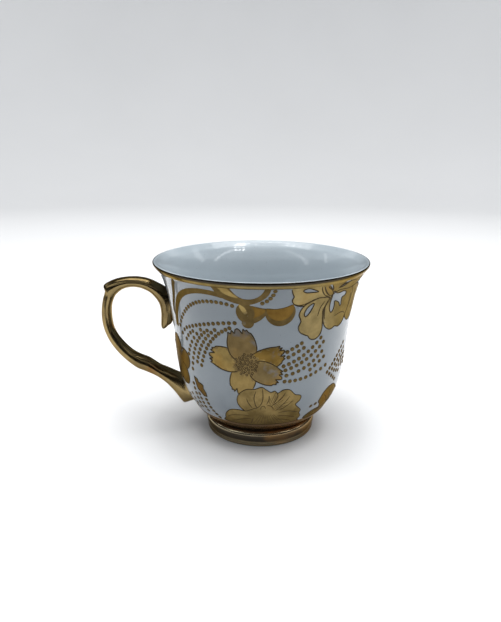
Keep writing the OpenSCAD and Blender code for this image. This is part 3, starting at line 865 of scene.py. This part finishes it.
CLOVER_LOBES = [
    [(9.3, 71), (9.2, 68.5), (9.7, 66.4), (10.3, 65), (9.9, 63.3), (10.9, 61.7), (12.6, 60.9),
     (14.5, 60.8), (18, 60.6), (23, 60), (25, 64), (23, 68), (20.5, 71)],
    [(36.6, 53.4), (38.4, 50.8), (41.4, 49.8), (44.6, 51), (47, 54.4), (47.2, 59), (44.8, 63),
     (40.5, 65.2), (36, 64.5), (37.5, 59)],
    [(24.6, 62.5), (23, 58.5), (23.3, 53.6), (25, 50.6), (27.8, 49.2), (30.3, 49.9), (32.8, 49.3),
     (35.4, 50.6), (37, 53.6), (38.6, 57.5), (38.4, 61.8), (36, 65), (31, 66.4), (26, 66.6)],
    [(15.8, 61.8), (14, 60.2), (13, 57.4), (13.9, 54.8), (13.2, 52.4), (14, 50.4), (16, 49.1),
     (17.2, 48.6), (18.4, 47.2), (20.6, 46.8), (22.6, 48.2), (23.3, 50.6), (22.9, 54.5), (22.5, 58),
     (24.2, 62.4), (20, 63.4)],
    [(23.5, 63.8), (28, 65.2), (34, 64.8), (39.5, 65.6), (42.5, 68), (43, 71), (32, 71), (20, 71)]]
CLOVER_OPENINGS = [
    [(13, 67.5), (14.6, 68.2), (16.6, 67.4), (18.5, 66.2), (16, 66.2), (14, 66.4)],
    [(18.1, 61.3), (17.7, 59.4), (16.7, 57.4), (15.5, 56.4), (14.9, 57.6), (15.5, 59.4), (16.8, 60.9)],
    [(25.5, 65.1), (27, 64.1), (29, 63.9), (31, 64.2), (32.8, 63.2), (32.6, 61.9), (31.2, 61.3),
     (31.4, 59.6), (31.8, 58.2), (31, 58), (30.2, 59.3), (28.9, 60.1), (27.3, 60.6), (27.7, 58.6),
     (27.4, 56.8), (26.6, 56.2), (25.6, 57.6), (25.2, 60), (25.3, 62.6)],
    [(21.4, 69.6), (22.8, 69), (24.2, 67), (24.6, 66), (23.2, 67.2)],
    [(27.4, 66.4), (29.4, 68.3), (32.4, 69.6), (33.4, 69.2), (31.6, 67.9), (29.6, 66.8)]]
CORNER_EDGE = [
    (28.2, 18), (29, 20.6), (30.8, 22.7), (33.6, 23.8), (37.2, 23.6), (40.4, 21.8), (43, 19.6),
    (46.4, 18.6), (48.4, 15.4), (48.2, 11.8), (45.6, 9.7), (38, 9.7), (30, 9.7), (24, 9.7), (22.4, 10.6),
    (24.2, 12.6), (27.2, 14), (30.4, 14.2), (29.8, 16.2)]
LOBES_C = (-42.0, 32.4)
LOBES_OPENING = [
    (-39.9, 36.5), (-38.4, 37.1), (-36.8, 38.3), (-35.9, 38.8), (-36.8, 37.4), (-38.3, 36.4)]
SMALL_LEAF = [
    (-29.9, 28.8), (-28, 28.3), (-27.6, 26.9), (-26.2, 26.8), (-25, 26.2), (-25.2, 24.8), (-24, 23),
    (-23.9, 21.5), (-25.6, 21.4), (-27, 22.8), (-28.6, 23.8), (-29.3, 26.4)]


def make_anemone(side):
    petals = [petal(ANEMONE_C, *p) for p in ANEMONE_PETALS]
    fan = smooth(FAN_EDGE, 5, closed=True)
    eye = oval(ANEMONE_C, ANEMONE_EYE, ANEMONE_EYE)
    side.film("anemone_film", petals + [eye], [fan], AMBER_PRINT, "anemone")
    runs = seen_runs(petals, [oval(ANEMONE_C, 4.2, 4.2), fan])
    side.lines("anemone_lines", runs, LINE_W)
    k = np.arange(SEEDS)
    stray = np.random.default_rng(7).normal(0, 0.13, (SEEDS, 2))
    r = 4.5 * np.sqrt((k + 0.5) / SEEDS)
    a = GOLDEN_ANGLE * k
    places = np.array(ANEMONE_C) + np.column_stack([r * np.cos(a), r * np.sin(a)]) + stray
    rings = [(oval(c, 0.4, 0.36, 40 * i, 12), True) for i, c in enumerate(places)]
    side.lines("anemone_seeds", rings, 0.24)


FAN_VEINS = [
    [(-5.5, 24.3), (-4.9, 22.4), (-3.3, 19.9)],
    [(-1.8, 27.6), (-2.5, 24.6), (-2.1, 21.8), (-1.3, 19.9)],
    [(0.8, 28.6), (1, 25.4), (0.7, 23), (-0.2, 21.1), (-1.5, 19.9)],
    [(-8.6, 20.3), (-6.6, 18.1), (-4.6, 18.7), (-2.7, 19.6), (-1.3, 19.9)],
    [(3.4, 25.8), (3.4, 23.9), (2.5, 21.8)],
    [(6.2, 27), (6.9, 25.4), (6.3, 23.9), (5.3, 22.3)],
    [(9.9, 26.6), (8.2, 23.9), (5.5, 21.6), (4.4, 20.6)],
    [(11.9, 24.8), (9.6, 21.7), (6.8, 18.8)],
    [(13.6, 22.6), (11.4, 20.6), (8.2, 18.6)],
    [(0, 19.2), (0.5, 20.6), (1.5, 20.9), (2.2, 19.6)],
    [(2.8, 21.2), (4.4, 20.8), (5.6, 18.9)],
    [(-15.2, 13.5), (-12.6, 14.9), (-7.8, 15.7), (-4.9, 15.5)],
    [(-13.8, 11), (-11.2, 11.9), (-7.8, 13.3), (-4, 14.1)],
    [(-3.1, 14.6), (-3.7, 12.4), (-4.4, 10.6)],
    [(7.6, 15.4), (11.6, 14.8), (16.4, 13)],
    [(7, 13.4), (10.8, 12.6), (15, 10.8)],
    [(7.8, 17.2), (12.4, 17.4), (17.2, 15.8)]]


def fan_hatching():
    """Short fine strokes that fan out from the flower's throat, up its petals and down to its base."""
    strokes = []
    throat = np.array((2.6, 17.4))
    for k, a in enumerate(range(14, 84, 7)):
        way = ray(a)
        near, out = 3.6 + 0.8 * (k % 2), 7.4 + 1.6 * (k % 3)
        strokes.append(bowed(throat + near * way, throat + (near + out) / 2 * way + (-0.15, 0.3),
                             throat + out * way, 10))
    for k in range(9):
        s = -1.6 + 1.25 * k
        strokes.append(bowed((2.2 + (s - 2.2) * 0.55, 16.4), (s, 13.4), (2.2 + (s - 2.2) * 1.5, 10.2), 12))
    return strokes


def make_fan(side):
    edge = smooth(FAN_EDGE, 5, closed=True)
    side.film("fan_film", [edge], [], FAN_GOLD, "fan_flower")
    lines = seen_runs([edge]) + [(smooth(v), False) for v in FAN_VEINS]
    side.lines("fan_lines", lines, FINE_LINE_W)
    side.lines("fan_hatching", [(h, False) for h in fan_hatching()], 0.2, LINE_H - 0.02)


CLOVER_VEINS = [
    [(10.6, 62), (12.4, 61.2), (15, 61.7), (17.7, 63), (20.3, 63.5), (22.2, 63)],
    [(19, 69.6), (19.7, 66.9), (21.4, 64.4), (24.2, 62.7), (25.3, 60.9)],
    [(20, 69.6), (20.7, 67.2), (22.2, 64.9), (24, 63.6)],
    [(21.2, 69.6), (22.3, 67.4), (24.2, 65.9), (25, 64.7)],
    [(22.4, 61.6), (21, 59.2), (20.4, 55.9)],
    [(23.9, 62), (23.2, 59.2), (23.3, 56.9), (23.8, 54)],
    [(29, 54.2), (31.5, 54.8), (34, 54.8), (36.2, 53.8)],
    [(26.8, 66.2), (29, 67.4), (33, 68.2), (37, 67.8)],
    [(37, 62), (38.2, 59), (38, 55.8)],
    [(41, 62.8), (42.4, 58.6), (41.6, 54.4)]]


def make_clover(side):
    lobes = [smooth(lobe, 5, closed=True) for lobe in CLOVER_LOBES]
    holes = [smooth(hole, 5, closed=True) for hole in CLOVER_OPENINGS]
    side.film("clover_film", lobes, holes, PALE_PRINT, "clover_flower")
    lines = seen_runs(lobes) + seen_runs(holes)
    veins = [smooth(v) for v in CLOVER_VEINS]
    lines += [(v[v[:, 1] < PRINT_TOP - 0.3], False) for v in veins]
    side.lines("clover_lines", lines, LINE_W)


def make_corner(side):
    edge = smooth(CORNER_EDGE, 5, closed=True)
    side.film("corner_film", [edge], [], DEEP, "corner_flower")
    lines = seen_runs([edge])
    for tip in ((31, 20.5), (35, 22), (39, 21), (43, 17.5), (25.5, 11.6), (30, 12.6), (45.5, 13)):
        lines.append((bowed((36.5, 14.5), (np.array(tip) + (37, 15.6)) / 2, tip, 12), False))
    side.lines("corner_lines", lines, FINE_LINE_W)


def make_side_leaf(side):
    lobes = [oval(LOBES_C + 5.7 * ray(a), 4.4 * 1.15, 4.4, a) for a in range(20, 309, 72)]
    heart = oval(LOBES_C, 4, 4)
    hole = smooth(LOBES_OPENING, 5, closed=True)
    leaf = np.array(SMALL_LEAF)
    side.film("leaf_film", lobes + [heart, leaf], [hole], SIDE_GOLD_SHADED, "side_leaf")
    lines = seen_runs(lobes, [heart]) + [(hole, True), (leaf, True)]
    side.lines("leaf_lines", lines, 0.38)


# ---- ribbons
def make_ribbons(side):
    out = smooth([(-15.6, 71), (-15, 67.6), (-13.2, 64.6), (-9.4, 62.7), (-5.2, 61.8),
                  (-1.6, 62.7), (1.5, 64.9), (2.8, 67.6), (3.1, 71)])
    back = smooth([(1.1, 71), (0.9, 68.2), (-0.6, 65.6), (-3.2, 64.3), (-6.2, 64.6),
                   (-8.6, 67), (-10, 71)])
    loop = np.vstack([out, back])
    side.film("loop_film", [loop], [], MATTE, "ribbon_loop")
    scroll = band(arc((-18.6, 45.6), 20.3, 72, 175, 60), 2.1, 2.7)
    side.film("scroll_film", [scroll], [loop], MATTE, "ribbon_scroll")
    tongue = smooth([(-13.4, 70.2), (-10.6, 70.2), (-9.9, 68), (-8.6, 66.4), (-7.2, 64.9),
                     (-8.9, 64.9), (-11.6, 66.2), (-13, 68.2)], 5, closed=True)
    side.light("loop_light", [tongue], [], BRIGHT)
    knot = [oval((-5.2, 58.7), 3.1, 3.9, 8), oval((-4.4, 54.8), 2.1, 2.1)]
    side.film("knot_film", knot, [loop], MATTE, "ribbon_knot")
    make_swag(side, knot + [loop])
    lens = smooth([(-7.1, 61.9), (-6.2, 61.6), (-4.9, 60), (-4.2, 57.4), (-5.6, 58.3),
                   (-6.8, 60.2)], 5, closed=True)
    bead = oval((-5.8, 54.6), 0.75, 0.75, n=16)
    side.light("knot_light", [lens, bead], [], BRIGHT)


def make_swag(side, covers):
    """The two scallops, which run in behind the covers."""
    bowl = arc((6.5, 58.6), 5.1, 156, 380, 44)
    top = smooth([(10.4, 62), (7.4, 60.8), (4.8, 60.4), (2.8, 60.6)], 5)
    left = smooth([(-3.4, 61.4), (-1.4, 61.2), (0.4, 60.7), (2.2, 60.4), (2.2, 58.8), (1, 57.1),
                   (-0.6, 55.6), (-2.6, 54.9), (-3.6, 58)], 5, closed=True)
    side.film("swag_film", [np.vstack([bowl, top]), left], covers, MATTE, "scallop_swag")
    light = np.vstack([arc((6.3, 60.2), 4.5, 176, 372, 36),
                       smooth([(10.4, 61.7), (7.4, 60.6), (4.8, 60.1), (2.3, 60.4)], 4)])
    upper = smooth([(-3, 61), (-1.4, 60.8), (0.2, 60.4), (1.3, 60.1), (1.3, 59.3), (0.4, 58.3),
                    (-1, 57.4), (-2.6, 56.8), (-3.3, 58.6)], 4, closed=True)
    side.light("swag_light", [light, upper], covers, AMBER)


def make_rope(side):
    """A row of short slanted strands, each lying against the next like the lay of a cord."""
    path = even(smooth([(-29.6, 70), (-32.8, 66.5), (-35, 62.7), (-37.3, 58.9), (-39.2, 55.8),
                        (-40, 52.8)]), 0.8)
    path = path[path[:, 1] < PRINT_TOP - 0.5]
    d = np.gradient(path, axis=0)
    lay = np.degrees(np.arctan2(d[:, 1], d[:, 0])) + 52
    side.lines("rope_core", [(path, False)], 1.7, 0.05)
    side.dots("rope", path, "rope_line", 1.15, b=0.26, tilt=lay, sides=12)


# ---- beads and dots
def beads():
    return [bowed((-9.4, 61.2), (-24, 60.1), (-36, 48.4), 18),
            bowed((4.2, 67.8), (2.9, 64.7), (0.4, 62.7), 5)]


def left_net():
    return [bowed((-9, 54.4), (-20.2, 52.4), (-31, 48.7), 12),
            bowed((-11, 52.2), (-19, 45.7), (-24.4, 35), 13),
            bowed((-16.8, 50.7), (-22.9, 44.1), (-26.6, 35.9), 10),
            bowed((-20.1, 49.9), (-26.4, 42.9), (-30.1, 32), 11),
            bowed((-23.2, 49.6), (-28.7, 43.5), (-31.6, 37.8), 7),
            bowed((-27.4, 48.1), (-29.8, 46.4), (-32, 43.9), 4),
            straight((-32.8, 47.4), (-34.6, 45.6), 2)]


def right_net():
    return [straight((9.7, 43.2), (15.1, 46), 4), straight((10.2, 41), (16.1, 44), 4),
            bowed((8.5, 37.6), (16.3, 41.1), (23.4, 46.8), 9),
            bowed((9.3, 35.9), (17.7, 39.3), (25, 44.8), 9),
            bowed((9.8, 33.7), (17.9, 36.3), (24.7, 41), 8),
            straight((19.7, 34.6), (26, 38.6), 4),
            bowed((9.2, 31.3), (18, 31.8), (27.6, 34.7), 9)]


def far_net():
    rows = []
    for k in range(5):
        a = np.array((29.5, 31.1)) + k * np.array((1.8, -1.3))
        end = np.array((40.6, 40.4)) + k * np.array((1.5, -2.6))
        rows.append(bowed(a, a + (5.2, 4.6), end, 8 - int(k * 0.7 + 0.5)))
    return rows


def low_net():
    return [bowed((-24.8, 19.8), (-23.4, 15.1), (-20.9, 10.8), 6),
            straight((-28.5, 21.4), (-27.1, 13), 5), straight((-31.1, 25.4), (-30.6, 14.2), 6),
            straight((-35, 19.4), (-33.6, 12.6), 4), straight((-38.8, 17.6), (-37, 12.4), 3),
            straight((23.9, 17), (26.6, 17.4), 2)]


def make_dots(side):
    for name, rows, node in (("beads", beads(), "bead_trail"), ("left_net", left_net(), "left_dots"),
                             ("right_net", right_net(), "right_dots"),
                             ("far_net", far_net(), "far_dots"), ("low_net", low_net(), "lower_dots")):
        side.dots(name, np.vstack(rows), node)


for side in (Side("front_", 0), Side("back_", BACK)):
    make_anemone(side)
    make_fan(side)
    make_clover(side)
    make_corner(side)
    make_side_leaf(side)
    make_ribbons(side)
    make_rope(side)
    make_dots(side)


# ---- floor and light
def matt(name, dark, light, cloud_scale, roughness, gloss):
    mat = Finish(name)
    mat.set("Base Color", mat.ramp(mat.noise(cloud_scale, 3), [(0.3, dark), (0.7, light)]))
    mat.set("Roughness", roughness)
    mat.set("Specular IOR Level", gloss)
    return mat.material


def add_floor():
    """A pale sweep: a flat floor that curves up into a wall all round, in millimetres."""
    radius, rise, bend = 1600, 1200, 700
    curve = arc((radius - bend, bend), bend, -90, 0, 24)
    profile = [(radius, rise), *curve[::-1], (300, 0), (0, 0)]
    floor = lathe("floor", profile, 96, None, closed=False)
    floor.data.materials.append(matt("pale_floor", (0.62, 0.62, 0.62), (0.64, 0.64, 0.64), 3, 0.85, 0.2))
    floor.visible_diffuse = False


def add_cards():
    """Black felt for the dark end of the room, which only reflections see."""
    corners = [(-CARD_X, CARD_Y, CARD_Z), (CARD_X, CARD_Y, CARD_Z), (CARD_X, -CARD_X, CARD_Z),
               (-CARD_X, -CARD_X, CARD_Z)]
    wall = [(CARD_X / MM, 0), (CARD_X / MM, CARD_TOP / MM)]
    for card in (add_mesh("floor_card", corners, [[0, 1, 2, 3]]),
                 lathe("room_card", wall, 48, None, closed=False)):
        card.data.materials.append(matt(card.name, (0.012, 0.012, 0.013), (0.02, 0.02, 0.022), 40, 0.95, 0))
        card.visible_camera = False
        card.visible_diffuse = False
        card.visible_shadow = False


CARD_X = 1.05  # the cards' reach
CARD_Y = -0.13  # how near the cup the floor card comes, and how far it is off the floor
CARD_Z = 0.002
CARD_TOP = 0.55  # height of the card round the room


def area_light(name, at, turn, size, power, colour):
    data = bpy.data.lights.new(name, "AREA")
    data.shape = "RECTANGLE"
    data.size, data.size_y = size
    data.energy = power
    data.color = colour
    obj = put(name, data)
    obj.matrix_world = Matrix.Translation(at) @ turn.to_4x4()
    return obj


def add_light(name, at, aim, size, power, colour=(1, 1, 1), mirrored=True):
    at = Vector(at)
    turn = (Vector(aim) - at).to_track_quat("-Z", "Y").to_matrix()
    area_light(name, at, turn, size, power, colour).visible_glossy = mirrored


def add_strip(name, start, end, width, power):
    """A narrow window between two points, facing the cup."""
    start, end = Vector(start), Vector(end)
    middle = (start + end) / 2
    side = (end - start).normalized()
    up = (middle - Vector(CUP)).cross(side).normalized()
    turn = Matrix((side, up, side.cross(up))).transposed()
    area_light(name, middle, turn, ((end - start).length, width), power, (0.95, 0.98, 1))


def add_mouth_light():
    """A soft spot from above that reaches only into the cup."""
    data = bpy.data.lights.new("mouth", "SPOT")
    data.energy = 3.4
    data.spot_size = math.radians(8.4)
    data.spot_blend = 0.6
    data.shadow_soft_size = 0.04
    obj = put("mouth", data)
    obj.location = (0, 0, 0.65)
    obj.visible_glossy = False


def add_world():
    """An even, slightly blue light from all round, which reflections don't see."""
    world = bpy.data.worlds.new("studio")
    bpy.context.scene.world = world
    world.use_nodes = True
    back = world.node_tree.nodes["Background"]
    back.inputs["Color"].default_value = (0.86, 0.92, 1.0, 1)
    back.inputs["Strength"].default_value = 0.36
    world.cycles_visibility.glossy = False


add_floor()
add_world()
add_cards()
CUP = (0, 0, 0.04)
add_light("top_soft", (0, 0.3, 1.25), (0, 0.2, 0), (1.2, 0.8), 2, mirrored=False)
for x in (-0.75, 0.75):
    add_light(f"side_{x}", (x, 0.25, 0.95), CUP, (0.5, 0.5), 1.3, mirrored=False)
add_light("front_top", (0, -0.55, 0.95), CUP, (0.8, 0.3), 0.35, (0.97, 0.98, 1))
for i in range(4):
    away = Vector((math.sin(i * math.pi / 2), math.cos(i * math.pi / 2), 0))
    add_light(f"wall_{i}", 0.3 * away + Vector((0, 0, 1.3)), 1.5 * away + Vector((0, 0, 0.3)), (1.2, 1.2),
              11.2, mirrored=i == 0)
for i in range(3):
    far = Vector((0.2 + 0.045 * i, -0.14 + 0.015 * i, 0.97))
    near = Vector((0.3 + 0.06 * i, -0.52 + 0.03 * i, 0.76))
    for j in range(3):
        add_light(f"pane_{i}_{j}", far.lerp(near, j / 2), CUP, (0.034, 0.07), 0.12)
first_lamp, last_lamp = Vector((0.14, -0.16, 0.98)), Vector((-0.4, 0, 0.92))
for i in range(8):
    add_light(f"lamp_{i}", first_lamp.lerp(last_lamp, i / 7), CUP, (0.034, 0.02), 0.03)
add_mouth_light()
add_strip("tall_left", (-0.39, -0.48, 0.76), (-0.81, -0.34, 0.34), 0.09, 0.36)
add_strip("low_left", (-0.75, 0.12, 0.66), (-0.83, 0.12, 0.36), 0.08, 0.15)
add_strip("tall_right", (0.54, 0.34, 0.76), (0.84, -0.05, 0.38), 0.1, 0.36)
add_strip("near_right", (0.45, -0.44, 0.75), (0.8, -0.32, 0.42), 0.06, 0.33)
bpy.context.scene.view_settings.view_transform = "Standard"
